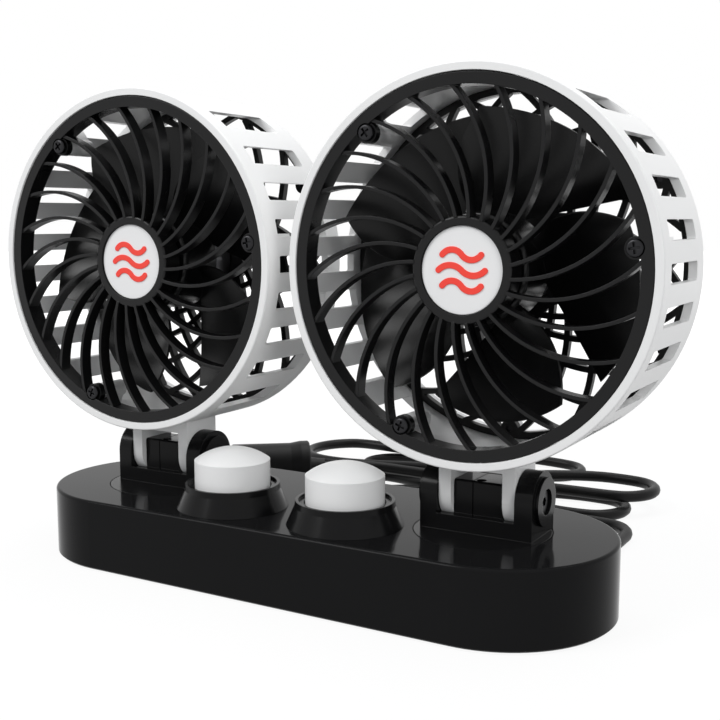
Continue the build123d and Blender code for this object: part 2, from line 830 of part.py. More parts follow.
# Swivel bracket: turntable disc, pivot tube, block, two ears and the centre knuckle
with BuildPart() as swivel_bracket:
    with BuildSketch(level(base_height)):
        Circle(disc_radius)
    extrude(amount=-disc_thickness)
    with BuildSketch(level(disc_underside)):
        Circle(pivot_radius)
    extrude(amount=-(disc_underside - pivot_bottom))
    with BuildSketch(level(base_height)):
        with Locations((0, hinge_set_back)):
            RectangleRounded(2 * ear_outer, 2 * ear_radius, ear_edge)
    extrude(amount=block_height)
    with BuildSketch(side_on(ear_inner)):
        Circle(ear_radius)
        Rectangle(2 * ear_radius, hinge_rise, align=(Align.CENTER, Align.MAX))
    extrude(amount=ear_thickness)
    with BuildSketch(side_on(ear_outer)):
        Circle(ear_boss_radius)
    extrude(amount=ear_boss_proud)
    mirror(about=Plane.YZ)
    with BuildSketch(side_on(0)) as knuckle_section:
        with Locations((0, knuckle_rise)):
            Rectangle(2 * knuckle_reach, hinge_rise + knuckle_rise, align=(Align.CENTER, Align.MAX))
        fillet(knuckle_section.vertices().group_by(Axis.Y)[-1], knuckle_round)
    extrude(amount=knuckle_half, both=True)
    for side in (-1, 1):
        with BuildSketch(side_on(side * knuckle_half)):
            Circle(slot_radius)
        extrude(amount=side * (ear_inner - knuckle_half), mode=Mode.SUBTRACT)
    # Moulding seam round the knuckle
    with BuildSketch(side_on(-seam_x)):
        with Locations((0, block_top - hinge_z)):
            Rectangle(
                2 * (knuckle_reach + cut_overrun),
                hinge_z - block_top + knuckle_rise + cut_overrun,
                align=(Align.CENTER, Align.MIN),
            )
        with Locations((0, knuckle_rise - seam_depth)):
            Rectangle(
                2 * (knuckle_reach - seam_depth),
                hinge_rise + knuckle_rise,
                align=(Align.CENTER, Align.MAX),
                mode=Mode.SUBTRACT,
            )
    extrude(amount=seam_width, mode=Mode.SUBTRACT)
    with BuildSketch(side_on(0)):
        Circle(hinge_bore_radius)
    extrude(amount=ear_boss_face + cut_overrun, both=True, mode=Mode.SUBTRACT)
    with BuildSketch(side_on(ear_boss_face)):
        Circle(hinge_head_radius + hinge_head_gap)
    extrude(amount=-hinge_head_pocket, mode=Mode.SUBTRACT)
    with BuildSketch(side_on(-ear_boss_face)):
        RegularPolygon(nut_width / 2 + nut_gap, 6, major_radius=False)
    extrude(amount=nut_pocket, mode=Mode.SUBTRACT)
    with BuildSketch(level(pivot_bottom)):
        Circle(pivot_bore_radius)
    extrude(amount=block_top - lead_bore_top_cover - pivot_bottom, mode=Mode.SUBTRACT)
    with BuildSketch(level(base_height)):
        with Locations((0, lead_way_y)):
            Circle(lead_way_radius)
    extrude(amount=hinge_rise + knuckle_rise + cut_overrun, mode=Mode.SUBTRACT)
    with Locations(Plane(origin=(0, 0, pivot_bottom), x_dir=(1, 0, 0), z_dir=(0, 0, -1))):
        with PolarLocations(retainer_screw_ring, retainer_screw_count, retainer_screw_start):
            Hole(retainer_screw_shank_radius + running_gap, retainer_screw_bite + running_gap)
write_pair("swivel_bracket", swivel_bracket.part, swivel_x)

# Retainer ring that holds the pivot tube in the base, and its screws from below
retainer_plane = Plane(origin=(0, 0, retainer_bottom), x_dir=(1, 0, 0), z_dir=(0, 0, -1))
with BuildPart() as swivel_retainer:
    with BuildSketch(level(retainer_bottom)):
        Circle(retainer_radius)
        Circle(pivot_bore_radius, mode=Mode.SUBTRACT)
    extrude(amount=retainer_thickness)
    with Locations(retainer_plane):
        with PolarLocations(retainer_screw_ring, retainer_screw_count, retainer_screw_start):
            Hole(retainer_screw_shank_radius + running_gap, retainer_thickness)
write_pair("swivel_retainer", swivel_retainer.part, swivel_x)

with BuildPart() as retainer_screws:
    with BuildSketch(retainer_plane):
        with PolarLocations(retainer_screw_ring, retainer_screw_count, retainer_screw_start):
            Circle(retainer_screw_head_radius)
    extrude(amount=retainer_screw_head_height)
    with BuildSketch(retainer_plane):
        with PolarLocations(retainer_screw_ring, retainer_screw_count, retainer_screw_start):
            Circle(retainer_screw_shank_radius)
    extrude(amount=-(retainer_thickness + retainer_screw_bite))
write_pair("retainer_screws", retainer_screws.part, swivel_x)

# Hinge screw and nut through the ears, fork and knuckle
head_seat_x = ear_boss_face - hinge_head_pocket
nut_seat_x = -(ear_boss_face - nut_pocket)
with BuildPart() as hinge_screw:
    with BuildSketch(side_on(head_seat_x)):
        Circle(hinge_head_radius)
    extrude(amount=hinge_head_height)
    with BuildSketch(side_on(head_seat_x)):
        Circle(hinge_screw_radius)
    extrude(amount=nut_seat_x - nut_height + screw_end_inset - head_seat_x)
    with BuildSketch(side_on(head_seat_x + hinge_head_height)):
        RegularPolygon(hex_socket_width / 2, 6, major_radius=False)
    extrude(amount=-hex_socket_depth, mode=Mode.SUBTRACT)
write_pair("hinge_screw", hinge_screw.part, swivel_x)

with BuildPart() as hinge_nut:
    with BuildSketch(side_on(nut_seat_x)):
        RegularPolygon(nut_width / 2, 6, major_radius=False)
        Circle(hinge_screw_radius + press_gap, mode=Mode.SUBTRACT)
    extrude(amount=-nut_height)
write_pair("hinge_nut", hinge_nut.part, swivel_x)

# Base shell: a long round-ended tray, open below
with BuildPart() as base_shell:
    with BuildSketch(level(base_underside)):
        SlotOverall(base_length, base_width)
    extrude(amount=base_height - base_underside)
    fillet(base_shell.faces().sort_by(Axis.Z)[-1].edges(), base_top_round)
    chamfer(base_shell.faces().sort_by(Axis.Z)[0].edges(), base_foot_chamfer)
    with BuildSketch(level(base_underside)):
        SlotOverall(base_length - 2 * base_wall, base_width - 2 * base_wall)
    extrude(amount=base_inner_top - base_underside, mode=Mode.SUBTRACT)
    with BuildSketch(level(base_inner_top)):
        with Locations((-swivel_x, 0), (swivel_x, 0)):
            Circle(swivel_boss_radius)
    extrude(amount=-(base_inner_top - swivel_floor_underside))
    with BuildSketch(level(base_inner_top)):
        with Locations(*base_screw_places):
            Circle(base_boss_radius)
    extrude(amount=-(base_inner_top - plate_top))
    with BuildSketch(level(base_height)):
        with Locations((-swivel_x, 0), (swivel_x, 0)):
            Circle(disc_radius + disc_edge_gap)
    extrude(amount=-disc_thickness, mode=Mode.SUBTRACT)
    with BuildSketch(level(disc_underside)):
        with Locations((-swivel_x, 0), (swivel_x, 0)):
            Circle(pivot_radius + running_gap)
    extrude(amount=-swivel_floor, mode=Mode.SUBTRACT)
    with BuildSketch(level(base_height)):
        with Locations((-knob_x, knob_y), (knob_x, knob_y)):
            Circle(switch_neck_hole)
    extrude(amount=-base_top, mode=Mode.SUBTRACT)
    with Locations(Plane(origin=(0, 0, plate_top), x_dir=(1, 0, 0), z_dir=(0, 0, -1))):
        with Locations(*base_screw_places):
            Hole(base_screw_shank_radius + running_gap, base_screw_length)
    with Locations(Plane(origin=(grip_x, base_back, grip_z), x_dir=(-1, 0, 0), z_dir=(0, 1, 0))):
        Hole(grip_hole_radius, base_wall + cut_overrun)
write("base_shell", base_shell.part)

# Plate that closes the base from below
below = Plane(origin=(0, 0, base_underside), x_dir=(1, 0, 0), z_dir=(0, 0, -1))
with BuildPart() as base_plate:
    with BuildSketch(level(base_underside)):
        SlotOverall(
            base_length - 2 * (base_wall + plate_gap),
            base_width - 2 * (base_wall + plate_gap),
        )
    extrude(amount=plate_thickness)
    with Locations(below):
        with GridLocations(foot_spacing_x, foot_spacing_y, 2, 2):
            Hole(foot_radius + foot_gap, foot_sink)
        with Locations(*base_screw_places):
            CounterBoreHole(
                base_screw_shank_radius + running_gap,
                base_screw_head_radius + base_head_gap,
                base_screw_head_height + base_head_sink,
                plate_thickness,
            )
write("base_plate", base_plate.part)

base_screw_plane = Plane(
    origin=(0, 0, base_underside + base_screw_head_height + base_head_sink),
    x_dir=(1, 0, 0),
    z_dir=(0, 0, -1),
)
with BuildPart() as base_screws:
    with BuildSketch(base_screw_plane):
        with Locations(*base_screw_places):
            Circle(base_screw_head_radius)
    extrude(amount=base_screw_head_height)
    with BuildSketch(base_screw_plane):
        with Locations(*base_screw_places):
            Circle(base_screw_shank_radius)
    extrude(amount=-base_screw_length)
write("base_screws", base_screws.part)

with BuildPart() as rubber_feet:
    with BuildSketch(level(0)):
        with GridLocations(foot_spacing_x, foot_spacing_y, 2, 2):
            Circle(foot_radius)
    extrude(amount=foot_proud + foot_sink)
    chamfer(rubber_feet.edges().filter_by_position(Axis.Z, 0, 0), foot_edge)
write("rubber_feet", rubber_feet.part)

# Bezel round each push button
bezel_top = base_height + bezel_rise
bezel_ledge = bezel_top - bezel_ledge_drop
with BuildPart() as button_bezel:
    with BuildSketch(Plane.XZ):
        with BuildLine():
            Polyline(
                (bezel_bore_radius, base_height),
                (bezel_foot_radius, base_height),
                (bezel_shoulder_radius, base_height + bezel_shoulder_rise),
                (bezel_top_radius, bezel_top),
                (bezel_ledge_radius, bezel_top),
                (bezel_ledge_radius, bezel_ledge),
                (bezel_bore_radius, bezel_ledge),
                close=True,
            )
        make_face()
    revolve(axis=Axis.Z)

# Push button: domed cap on a stem
cap_foot = base_height + cap_foot_rise
cap_crease = base_height + cap_crease_rise
cap_top = base_height + cap_top_rise
cap_hollow_top = base_height + cap_hollow_top_rise
with BuildPart() as button_cap:
    with BuildSketch(Plane.XZ):
        with BuildLine():
            dome_rise = cap_top - cap_crease
            dome_radius = (cap_radius**2 + dome_rise**2) / (2 * dome_rise)
            dome_middle_x = cap_radius / 2
            dome_middle_z = cap_top - dome_radius + math.sqrt(dome_radius**2 - dome_middle_x**2)
            ThreePointArc((0, cap_top), (dome_middle_x, dome_middle_z), (cap_radius, cap_crease))
            Polyline(
                (cap_radius, cap_crease),
                (cap_radius, cap_foot),
                (cap_radius - cap_wall, cap_foot),
                (cap_radius - cap_wall, cap_hollow_top),
                (stem_radius, cap_hollow_top),
                (stem_radius, stem_bottom),
                (0, stem_bottom),
                (0, cap_top),
            )
        make_face()
    revolve(axis=Axis.Z)

# Switch under each button, hung from the base top by its flange
with BuildPart() as push_switch:
    with BuildSketch(level(switch_flange_bottom)):
        RectangleRounded(switch_flange, switch_flange, switch_corner)
    extrude(amount=switch_flange_thickness)
    with BuildSketch(level(switch_bottom)):
        RectangleRounded(switch_body, switch_body, switch_corner)
    extrude(amount=switch_flange_bottom - switch_bottom)
    with BuildSketch(level(base_inner_top)):
        Circle(switch_neck_hole - running_gap)
    extrude(amount=base_top)
    with BuildSketch(level(switch_bore_floor)):
        Circle(stem_radius + running_gap)
    extrude(amount=base_height - switch_bore_floor, mode=Mode.SUBTRACT)

for piece_name, piece in (
    ("button_bezel", button_bezel.part),
    ("button_cap", button_cap.part),
    ("push_switch", push_switch.part),
):
    with BuildPart() as at_knob:
        with Locations((0, knob_y, 0)):
            add(piece)
    write_pair(piece_name, at_knob.part, knob_x)

# Cord grip: neck through the wall, flange and ribbed boot
grip_axis = Axis((grip_x, 0, grip_z), (0, 1, 0))
groove_step = boot_length / (2 * boot_grooves + 1)
boot_outline = []
for k in range(2 * boot_grooves + 1):
    groove = boot_groove_depth if k % 2 else 0
    for reach in (k, k + 1):
        slope = (boot_root_radius - boot_end_radius) * reach / (2 * boot_grooves + 1)
        boot_outline.append((boot_start + reach * groove_step, boot_root_radius - slope - groove))
with BuildPart() as cord_grip:
    with BuildSketch(Plane(origin=(grip_x, 0, grip_z), x_dir=(0, 1, 0), z_dir=(1, 0, 0))):
        with BuildLine():
            Polyline(
                (grip_inner_end, 0),
                (grip_inner_end, grip_neck_radius),
                (base_back, grip_neck_radius),
                (base_back, grip_flange_radius),
                (boot_start, grip_flange_radius),
                *boot_outline,
                (boot_end, 0),
                close=True,
            )
        make_face()
    revolve(axis=grip_axis)
write("cord_grip", cord_grip.part)


def bend_radii(points):
    """Radius at each inner point of a route, as large as its two runs allow."""
    radii = []
    for before, here, after in zip(points, points[1:], points[2:]):
        run_in = Vector(*here) - Vector(*before)
        run_out = Vector(*after) - Vector(*here)
        half_turn = math.radians(run_in.get_angle(run_out)) / 2
        radii.append(run_share * min(run_in.length, run_out.length) / math.tan(half_turn))
    return radii


def tube(path, radius):
    """Sweep a round section along the path."""
    with BuildPart() as swept:
        with BuildSketch(Plane(origin=path @ 0, z_dir=path % 0)):
            Circle(radius)
        sweep(path=path)
    return swept.part


def routed_tube(name, points, radius):
    radii = bend_radii(points)
    with BuildLine() as route:
        FilletPolyline(*points, radius=radii)
    path = route.wires()[0]
    piece = tube(path, radius)
    section = math.pi * radius**2
    print(name, "radii", [round(value, 1) for value in radii], "length", round(path.length, 1))
    print(name, "volume", round(piece.volume, 1), "section times length", round(section * path.length, 1))
    write(name, piece)


# Leads in the base
routed_tube(
    "inner_lead_right",
    (
        (grip_x + inner_lead_offset, grip_inner_end, grip_z),
        (grip_x + inner_lead_offset, grip_inner_end - right_lead_start, grip_z),
        (knob_x, switch_back + right_lead_end, inner_lead_end_z),
        (knob_x, switch_back, inner_lead_end_z),
    ),
    inner_lead_radius,
)
routed_tube(
    "inner_lead_left",
    (
        (grip_x - inner_lead_offset, grip_inner_end, grip_z),
        (grip_x - inner_lead_offset, grip_inner_end - left_lead_start, grip_z),
        (-knob_x, switch_back + left_lead_end, inner_lead_end_z),
        (-knob_x, switch_back, inner_lead_end_z),
    ),
    inner_lead_radius,
)

# Free cord from the grip to the hank
routed_tube("power_cord", lead_points, cord_radius)

# Hank: nodes at each bend's ends and tip and at the waist, joined by pairs of arcs
plug_way = Vector(*polar(1, plug_heading), 0)
hank_start = Vector(*lead_points[-1])
first_turn_start = hank_start + Vector(0, cord_diameter, 0)
hank_nodes = [
    (first_turn_start, Vector(0, 1, 0)),
    (first_turn_start + Vector(-first_turn_radius, first_turn_radius, 0), Vector(-1, 0, 0)),
]
for side, middle_x, middle_y, radius, height, turn, waist_y in hank_bends:
    if waist_y is not None:
        hank_nodes.append((Vector(waist_x, waist_y, height + waist_lift), Vector(side, 0, 0)))
    swing = turn * side
    hank_nodes.append((Vector(middle_x, middle_y - swing * radius, height), Vector(side, 0, 0)))
    hank_nodes.append((Vector(middle_x + side * radius, middle_y, height), Vector(0, swing, 0)))
    hank_nodes.append((Vector(middle_x, middle_y + swing * radius, height), Vector(-side, 0, 0)))
hank_nodes.append((Vector(waist_x, last_waist_y, layer_two + waist_lift), Vector(-1, 0, 0)))
hank_nodes.append((Vector(*hank_end_place, plug_collar_radius), plug_way))
plug_start = hank_nodes[-1][0] + plug_way * cord_diameter


def biarc_joint(start, start_way, end, end_way):
    """Point and direction where the two arcs between two nodes meet."""
    span = end - start
    square = 2 * (1 - start_way.dot(end_way))
    linear = 2 * span.dot(start_way + end_way)
    spread = span.dot(span)
    reach = 2 * spread / (linear + math.sqrt(linear**2 + 4 * square * spread))
    from_start = start + start_way * reach
    from_end = end - end_way * reach
    return (from_start + from_end) * 0.5, (from_end - from_start).normalized()


with BuildLine() as hank_route:
    Line(hank_start, first_turn_start)
    for (start, start_way), (end, end_way) in zip(hank_nodes, hank_nodes[1:]):
        joint, joint_way = biarc_joint(start, start_way, end, end_way)
        TangentArc(start, joint, tangent=start_way)
        TangentArc(joint, end, tangent=joint_way)
    Line(hank_nodes[-1][0], plug_start)
hank_path = hank_route.wires()[0]
cord_hank = tube(hank_path, cord_radius)
hank_length = hank_path.length
print("cord_hank length", round(hank_length, 1), "volume", round(cord_hank.volume, 1))
print("cord_hank section times length", round(math.pi * cord_radius**2 * hank_length, 1))
write("cord_hank", cord_hank)

# Least gap of the hank to itself, measured on points along it
step_count = 12
hank_points = []
travelled = 0
for edge in hank_path.edges():
    for k in range(step_count):
        hank_points.append((travelled + edge.length * k / step_count, edge @ (k / step_count)))
    travelled += edge.length
near_run = 6 * cord_diameter
least_gap = min(
    (here - there).length - cord_diameter
    for i, (way_here, here) in enumerate(hank_points)
    for way_there, there in hank_points[:i]
    if way_here - way_there > near_run
)
print("cord_hank least gap to itself", round(least_gap, 2))

# Band tied round the strands at the waist
tie_low_y = min(bend[6] for bend in hank_bends if bend[6] is not None) - cord_radius - tie_slack
tie_high_y = hank_bends[3][6] + cord_radius + tie_slack
tie_top = layer_two + waist_lift + cord_radius + tie_slack
tie_shoulder_z = tie_top * tie_shoulder_share
tie_top_low_y = last_waist_y - cord_radius - tie_slack
tie_top_high_y = hank_bends[5][6] + cord_radius + tie_slack
with BuildPart() as hank_tie:
    with BuildSketch(Plane(origin=(waist_x, 0, tie_thickness), x_dir=(0, 1, 0), z_dir=(1, 0, 0))) as band:
        with BuildLine():
            FilletPolyline(
                (tie_low_y, 0),
                (tie_high_y, 0),
                (tie_high_y, tie_shoulder_z),
                (tie_top_high_y, tie_top - tie_thickness),
                (tie_top_low_y, tie_top - tie_thickness),
                (tie_low_y, tie_shoulder_z),
                radius=tie_corner,
                close=True,
            )
        make_face()
        inside = band.faces()[0]
        offset(amount=tie_thickness)
        add(inside, mode=Mode.SUBTRACT)
    extrude(amount=tie_width / 2, both=True)
write("hank_tie", hank_tie.part)

# Plug: everything on one level axis from the end of the hank towards the nose
plug_axis = Axis(plug_start, plug_way)
plug_rear = plug_start + plug_way * plug_boot_length
upright = Plane(origin=plug_rear, x_dir=plug_way, z_dir=(plug_way.Y, -plug_way.X, 0))
flatwise = Plane(origin=plug_rear, x_dir=plug_way, z_dir=(0, 0, 1))
grip_end = plug_collar_length + plug_grip_length
barrel_start = grip_end + plug_shoulder
barrel_end = barrel_start + plug_barrel_length
tip_bore_start = barrel_end - tip_bore_length
ring_end = barrel_end + nose_ring_length
tip_end = ring_end + tip_reach

with BuildPart() as plug_boot:
    with BuildSketch(upright):
        with BuildLine():
            Polyline(
                (-plug_boot_length, 0),
                (-plug_boot_length, plug_boot_end_radius),
                (0, plug_boot_root_radius),
                (0, 0),
                close=True,
            )
        make_face()
    revolve(axis=plug_axis)
write("plug_boot", plug_boot.part)

with BuildPart() as plug_body:
    with BuildSketch(upright):
        with BuildLine():
            Polyline(
                (0, 0),
                (0, plug_collar_radius - plug_edge),
                (plug_edge, plug_collar_radius),
                (plug_collar_length, plug_collar_radius),
                (plug_collar_length + plug_flare_length, plug_grip_radius),
                (grip_end, plug_grip_radius),
                (barrel_start, plug_barrel_radius),
                (barrel_end - plug_nose_taper, plug_barrel_radius),
                (barrel_end, plug_nose_radius),
                (barrel_end, tip_flange_radius + tip_bore_gap),
                (tip_bore_start, tip_flange_radius + tip_bore_gap),
                (tip_bore_start, 0),
                close=True,
            )
        make_face()
    revolve(axis=plug_axis)
    for side in (-1, 1):
        with BuildSketch(flatwise):
            with Locations((barrel_start + contact_start + contact_length / 2, side * contact_seat)):
                Rectangle(
                    contact_length + 2 * contact_gap,
                    plug_barrel_radius - contact_seat + cut_overrun,
                    align=(Align.CENTER, Align.MIN if side > 0 else Align.MAX),
                )
        extrude(amount=contact_width / 2 + contact_gap, both=True, mode=Mode.SUBTRACT)
write("plug_body", plug_body.part)

# Sprung side contacts of the plug
with BuildPart() as plug_side_contacts:
    contact_first = barrel_start + contact_start
    contact_middle = contact_first + contact_length / 2
    contact_last = contact_first + contact_length
    for side in (-1, 1):
        low = side * contact_seat
        high = side * (contact_seat + contact_thickness)
        bulge = side * contact_bulge
        with BuildSketch(flatwise):
            with BuildLine():
                ThreePointArc((contact_first, high), (contact_middle, high + bulge), (contact_last, high))
                ThreePointArc((contact_first, low), (contact_middle, low + bulge), (contact_last, low))
                Line((contact_first, low), (contact_first, high))
                Line((contact_last, low), (contact_last, high))
            make_face()
        extrude(amount=contact_width / 2, both=True)
write("plug_side_contacts", plug_side_contacts.part)

with BuildPart() as plug_nose_ring:
    with BuildSketch(upright):
        with BuildLine():
            Polyline(
                (barrel_end, tip_radius + running_gap),
                (barrel_end, nose_ring_radius),
                (ring_end - nose_ring_edge, nose_ring_radius),
                (ring_end, nose_ring_radius - nose_ring_edge),
                (ring_end, tip_radius + running_gap),
                close=True,
            )
        make_face()
    revolve(axis=plug_axis)
write("plug_nose_ring", plug_nose_ring.part)

with BuildPart() as plug_tip:
    with BuildSketch(upright):
        with BuildLine():
            Polyline(
                (barrel_end - tip_flange_thickness - tip_tail_length, 0),
                (barrel_end - tip_flange_thickness - tip_tail_length, tip_tail_radius),
                (barrel_end - tip_flange_thickness, tip_tail_radius),
                (barrel_end - tip_flange_thickness, tip_flange_radius),
                (barrel_end, tip_flange_radius),
                (barrel_end, tip_radius),
                (tip_end, tip_radius),
                (tip_end, 0),
                close=True,
            )
        make_face()
    revolve(axis=plug_axis)
    tip_face = plug_tip.faces().sort_by(plug_axis)[-1]
    fillet(tip_face.edges(), tip_round)
write("plug_tip", plug_tip.part)
print("plug way", tuple(plug_way), "tip at", tuple(plug_rear + plug_way * tip_end))
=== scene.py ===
import json
import math

import bpy
from mathutils import Matrix, Vector


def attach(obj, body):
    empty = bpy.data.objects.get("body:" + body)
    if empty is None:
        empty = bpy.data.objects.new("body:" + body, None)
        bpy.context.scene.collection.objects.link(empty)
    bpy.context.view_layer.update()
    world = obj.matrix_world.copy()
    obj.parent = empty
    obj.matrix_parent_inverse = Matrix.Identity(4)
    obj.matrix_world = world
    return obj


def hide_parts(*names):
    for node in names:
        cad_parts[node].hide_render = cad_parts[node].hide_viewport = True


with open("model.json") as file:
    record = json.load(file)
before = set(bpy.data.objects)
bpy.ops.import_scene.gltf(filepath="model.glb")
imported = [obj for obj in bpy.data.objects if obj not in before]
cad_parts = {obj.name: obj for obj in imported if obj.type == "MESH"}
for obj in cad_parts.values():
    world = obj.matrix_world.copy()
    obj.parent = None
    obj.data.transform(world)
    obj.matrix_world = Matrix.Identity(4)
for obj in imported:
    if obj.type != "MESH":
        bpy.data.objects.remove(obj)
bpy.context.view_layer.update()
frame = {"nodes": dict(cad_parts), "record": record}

# The fan stands on its feet at Z = 0, its heads face -Y and its base runs along X. All in metres.


# Camera, at the photograph's viewpoint

camera_place = (0.1977, -0.3084, 0.1235)
camera_look = (-0.4974, 0.8577, -0.130)
camera_right = (0.865, 0.5017, 0.0)
sensor_width = 36.0
focal_length = 53.90
nearest_seen = 0.01
farthest_seen = 20.0


def place_camera():
    """A camera at the photograph's viewpoint, looking a little down along the base."""
    look = Vector(camera_look).normalized()
    right = Vector(camera_right).normalized()
    up = right.cross(look)
    data = bpy.data.cameras.new("photo_camera")
    data.sensor_width = sensor_width
    data.lens = focal_length
    data.clip_start = nearest_seen
    data.clip_end = farthest_seen
    camera = bpy.data.objects.new("photo_camera", data)
    bpy.context.scene.collection.objects.link(camera)
    turn = Matrix((right, up, -look)).transposed().to_4x4()
    camera.matrix_world = Matrix.Translation(camera_place) @ turn
    bpy.context.scene.camera = camera


place_camera()


# Shader maths

mix_factor = 0
mix_first_colour = 6
mix_second_colour = 7
mix_colour_result = 2
bevel_samples = 4


class Wire:
    """A shader socket that can be scaled by a number and added to one."""

    def __init__(self, shader, socket):
        self.shader = shader
        self.socket = socket

    def _math(self, operation, other):
        return self.shader.node("ShaderNodeMath", {"operation": operation}, {0: self, 1: other})

    def __radd__(self, other):
        return self._math("ADD", other)

    def __mul__(self, other):
        return self._math("MULTIPLY", other)


class Shader:
    """A material's node tree with one method that adds any node."""

    def __init__(self, name, **constants):
        self.material = bpy.data.materials.new(name)
        self.material.use_nodes = True
        self.nodes = self.material.node_tree.nodes
        self.links = self.material.node_tree.links
        self.surface = self.nodes["Principled BSDF"]
        for socket, value in constants.items():
            self.surface.inputs[socket.replace("_", " ")].default_value = value

    def node(self, kind, settings, inputs, output=0):
        made = self.nodes.new(kind)
        for name, value in settings.items():
            setattr(made, name, value)
        for name, value in inputs.items():
            self.feed(made.inputs[name], value)
        return Wire(self, made.outputs[output])

    def feed(self, socket, value):
        if isinstance(value, Wire):
            self.links.new(value.socket, socket)
        elif isinstance(value, tuple):
            socket.default_value = (*value, 1.0)
        else:
            socket.default_value = value

    def set(self, socket, value):
        self.feed(self.surface.inputs[socket], value)

    def noise(self, scale, detail, roughness):
        place = self.node("ShaderNodeTexCoord", {}, {}, output="Object")
        return self.node(
            "ShaderNodeTexNoise",
            {},
            {"Vector": place, "Scale": scale, "Detail": detail, "Roughness": roughness},
        )

    def mix(self, factor, first, second):
        return self.node(
            "ShaderNodeMix",
            {"data_type": "RGBA"},
            {mix_factor: factor, mix_first_colour: first, mix_second_colour: second},
            output=mix_colour_result,
        )

    def bumped(self, height, strength, distance, round_edges):
        edges = self.node("ShaderNodeBevel", {"samples": bevel_samples}, {"Radius": round_edges})
        inputs = {"Height": height, "Strength": strength, "Distance": distance, "Normal": edges}
        self.set("Normal", self.node("ShaderNodeBump", {}, inputs))


# Finishes

plastic_ior = 1.5
even_roughness = 0.5


def moulded_plastic(name, colour, rough, gloss=0.5, grain_depth=0.00002, shade=0.12):
    """Injection-moulded plastic: an even colour with faint cloudiness and a fine moulded skin."""
    shader = Shader(name, Roughness=rough, IOR=plastic_ior, Specular_IOR_Level=gloss)
    clouds = shader.noise(scale=35.0, detail=3.0, roughness=even_roughness)
    skin = shader.noise(scale=900.0, detail=2.0, roughness=0.6)
    darker = tuple(channel * (1.0 - shade) for channel in colour)
    shader.set("Base Color", shader.mix(clouds, darker, colour))
    shader.set("Roughness", rough * 0.8 + clouds * (rough * 0.4))
    shader.bumped(skin, strength=0.25, distance=grain_depth, round_edges=0.0003)
    return shader.material


def plated_metal(name, colour, rough):
    """Plain plated or drawn steel with fine directionless wear."""
    shader = Shader(name, Metallic=1.0, Roughness=rough)
    wear = shader.noise(scale=2500.0, detail=3.0, roughness=0.7)
    darker = tuple(channel * 0.8 for channel in colour)
    shader.set("Base Color", shader.mix(wear, darker, colour))
    shader.set("Roughness", rough * 0.7 + wear * (rough * 0.6))
    shader.bumped(wear, strength=0.2, distance=0.00001, round_edges=0.0002)
    return shader.material


def soft_rubber(name, colour, rough, gloss=0.5):
    """Dull rubber with a fine matt skin and a trace of dust."""
    shader = Shader(name, Roughness=rough, IOR=plastic_ior, Specular_IOR_Level=gloss)
    skin = shader.noise(scale=1800.0, detail=2.0, roughness=0.7)
    dust = shader.noise(scale=60.0, detail=4.0, roughness=0.6)
    paler = tuple(channel * 1.6 + 0.001 for channel in colour)
    shader.set("Base Color", shader.mix(dust, colour, paler))
    shader.set("Roughness", rough * 0.85 + dust * (rough * 0.3))
    shader.bumped(skin, strength=0.3, distance=0.00002, round_edges=0.0002)
    return shader.material


# Each finish by its slot: how it is made, its colour, its roughness and what else it needs
finish_table = {
    "base_black": (
        moulded_plastic, (0.0090, 0.0090, 0.0094), 0.10, {"gloss": 0.05, "grain_depth": 0.000004}
    ),
    "plate_black": (moulded_plastic, (0.010, 0.010, 0.011), 0.55, {"gloss": 0.4}),
    "foot_rubber": (soft_rubber, (0.015, 0.015, 0.015), 0.75, {}),
    "screw_steel": (plated_metal, (0.55, 0.55, 0.57), 0.32, {}),
    "screw_black": (plated_metal, (0.03, 0.03, 0.032), 0.34, {}),
    "bracket_black": (
        moulded_plastic, (0.0056, 0.0056, 0.0059), 0.20, {"gloss": 0.11, "grain_depth": 0.000006}
    ),
    "hidden_black": (moulded_plastic, (0.02, 0.02, 0.02), 0.5, {}),
    "drum_white": (moulded_plastic, (0.87, 0.87, 0.865), 0.34, {"shade": 0.03}),
    "button_white": (moulded_plastic, (0.83, 0.83, 0.825), 0.38, {"shade": 0.03}),
    "guard_black": (moulded_plastic, (0.004, 0.004, 0.0043), 0.28, {"gloss": 0.22}),
    "grille_black": (moulded_plastic, (0.004, 0.004, 0.0042), 0.42, {"gloss": 0.25}),
    "impeller_black": (moulded_plastic, (0.0036, 0.0036, 0.0038), 0.24, {"gloss": 0.24}),
    "badge_white": (moulded_plastic, (0.86, 0.86, 0.86), 0.30, {"shade": 0.02}),
    "mark_red": (moulded_plastic, (0.95, 0.055, 0.035), 0.45, {"shade": 0.06}),
    "motor_steel": (plated_metal, (0.45, 0.45, 0.47), 0.35, {}),
    "shaft_steel": (plated_metal, (0.7, 0.7, 0.72), 0.2, {}),
    "grip_black": (soft_rubber, (0.005, 0.005, 0.005), 0.5, {"gloss": 0.2}),
    "tie_black": (moulded_plastic, (0.006, 0.006, 0.006), 0.4, {"gloss": 0.25}),
    "plug_black": (moulded_plastic, (0.0035, 0.0035, 0.0038), 0.42, {"gloss": 0.15}),
    "contact_metal": (plated_metal, (0.7, 0.7, 0.68), 0.22, {}),
    "cord_black": (soft_rubber, (0.0032, 0.0032, 0.0033), 0.38, {"gloss": 0.16}),
}
finishes = {
    name: make(name, colour, rough, **extras)
    for name, (make, colour, rough, extras) in finish_table.items()
}

for entry in frame["record"]["subparts"]:
    finish = finishes[entry["material_slot"]]
    for slot in frame["nodes"][entry["node"]].material_slots:
        slot.material = finish


# Cord: from the grip in the base's back wall, through the tied hank, to the plug

